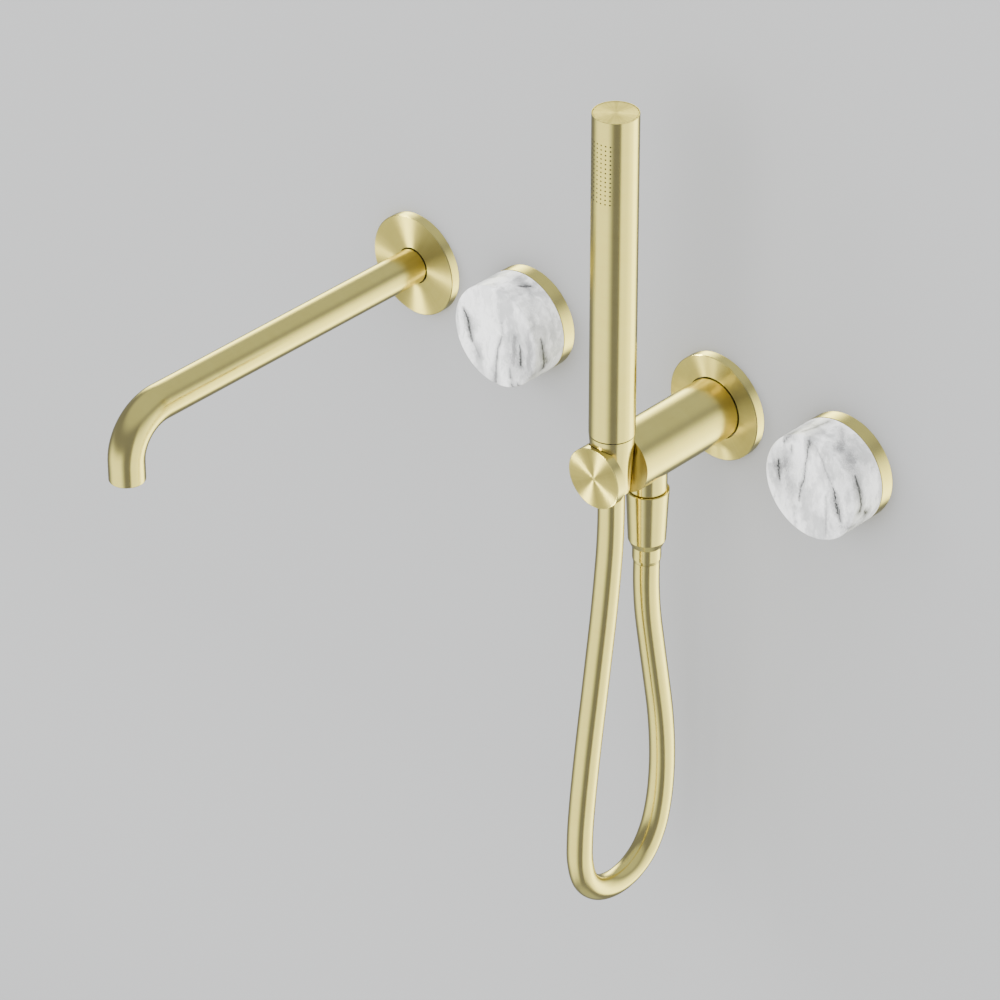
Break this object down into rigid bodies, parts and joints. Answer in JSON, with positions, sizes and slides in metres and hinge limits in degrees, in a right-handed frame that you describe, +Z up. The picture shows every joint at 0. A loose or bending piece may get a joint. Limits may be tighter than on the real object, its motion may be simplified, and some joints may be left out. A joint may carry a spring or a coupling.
{
  "type": "wall mounted bath faucet",
  "caption": "Wall mounted bath and shower faucet in brushed brass: a long round spout, round stone-knob mixers, and a slim hand shower on a holder arm with its hose.",
  "frame": {"origin": "on the finished wall, at the centre of the shower arm's cover plate", "axes": "+X to the right as seen from the room, +Y into the wall, +Z up"},
  "size_m": [0.3737, 0.2915, 0.4923],
  "materials": {
    "brushed_brass": "fine brushed, pale gold, fairly glossy",
    "raw_brass": "machined, unplated",
    "marble": "honed white marble with soft grey veins",
    "steel": "plain stainless",
    "rubber": "matte black",
    "white_plastic": "moulded",
    "dark_plastic": "moulded",
    "ceramic": "lapped, smooth"
  },
  "bodies": {
    "root": {"spout_tube": "brushed_brass", "spout_cover_plate": "brushed_brass", "spout_cover_gasket": "rubber", "spout_wall_nipple": "raw_brass", "spout_nipple_oring": "rubber", "spout_grub_screw": "steel", "aerator_housing": "dark_plastic", "aerator_insert": "white_plastic", "aerator_washer": "rubber", "bath_trim_ring": "brushed_brass", "bath_trim_gasket": "rubber", "bath_trim_sleeve": "steel", "bath_valve_body": "raw_brass", "bath_retaining_nut": "raw_brass", "bath_cartridge_housing": "white_plastic", "bath_fixed_disc": "ceramic", "bath_cartridge_base": "dark_plastic", "shower_trim_ring": "brushed_brass", "shower_trim_gasket": "rubber", "shower_trim_sleeve": "steel", "shower_valve_body": "raw_brass", "shower_retaining_nut": "raw_brass", "shower_cartridge_housing": "white_plastic", "shower_fixed_disc": "ceramic", "shower_cartridge_base": "dark_plastic", "arm_cover_plate": "brushed_brass", "arm_cover_gasket": "rubber", "arm_wall_nipple": "raw_brass", "arm_nipple_oring": "rubber", "bracket_arm": "brushed_brass", "arm_grub_screw": "steel", "arm_outlet": "brushed_brass", "check_valve": "white_plastic", "lower_hose_nut": "brushed_brass", "lower_hose_washer": "rubber", "lower_hose_ferrule": "brushed_brass", "shower_hose": "brushed_brass"},
    "bath_knob": {"bath_marble_knob": "marble", "bath_knob_insert": "raw_brass", "bath_knob_grub_screw": "steel", "bath_cartridge_stem": "raw_brass", "bath_moving_disc": "ceramic"},
    "shower_knob": {"shower_marble_knob": "marble", "shower_knob_insert": "raw_brass", "shower_knob_grub_screw": "steel", "shower_cartridge_stem": "raw_brass", "shower_moving_disc": "ceramic"},
    "hose_end": {"upper_hose_ferrule": "brushed_brass"},
    "handset": {"upper_hose_nut": "brushed_brass", "upper_hose_washer": "rubber", "handset_connector": "raw_brass", "flow_regulator": "white_plastic", "handset_inner_tube": "white_plastic", "handset_tube": "brushed_brass", "handset_top_cap": "brushed_brass", "nozzle_plate": "dark_plastic"}
  },
  "joints": [
    {"name": "bath_knob_turn", "type": "hinge", "parent": "root", "child": "bath_knob", "pos_m": [-0.1353, 0, 0], "axis": [0, -1, 0], "range_deg": [0, 105]},
    {"name": "shower_knob_turn", "type": "hinge", "parent": "root", "child": "shower_knob", "pos_m": [0.0882, 0, 0], "axis": [0, -1, 0], "range_deg": [0, 105]},
    {"name": "handset_lift", "type": "slide", "parent": "root", "child": "hose_end", "axis": [0, 0, 1], "range_m": [0, 0.045]},
    {"name": "handset_turn", "type": "hinge", "parent": "hose_end", "child": "handset", "pos_m": [0, -0.0869, 0], "axis": [0, 0, 1], "continuous": true}
  ]
}
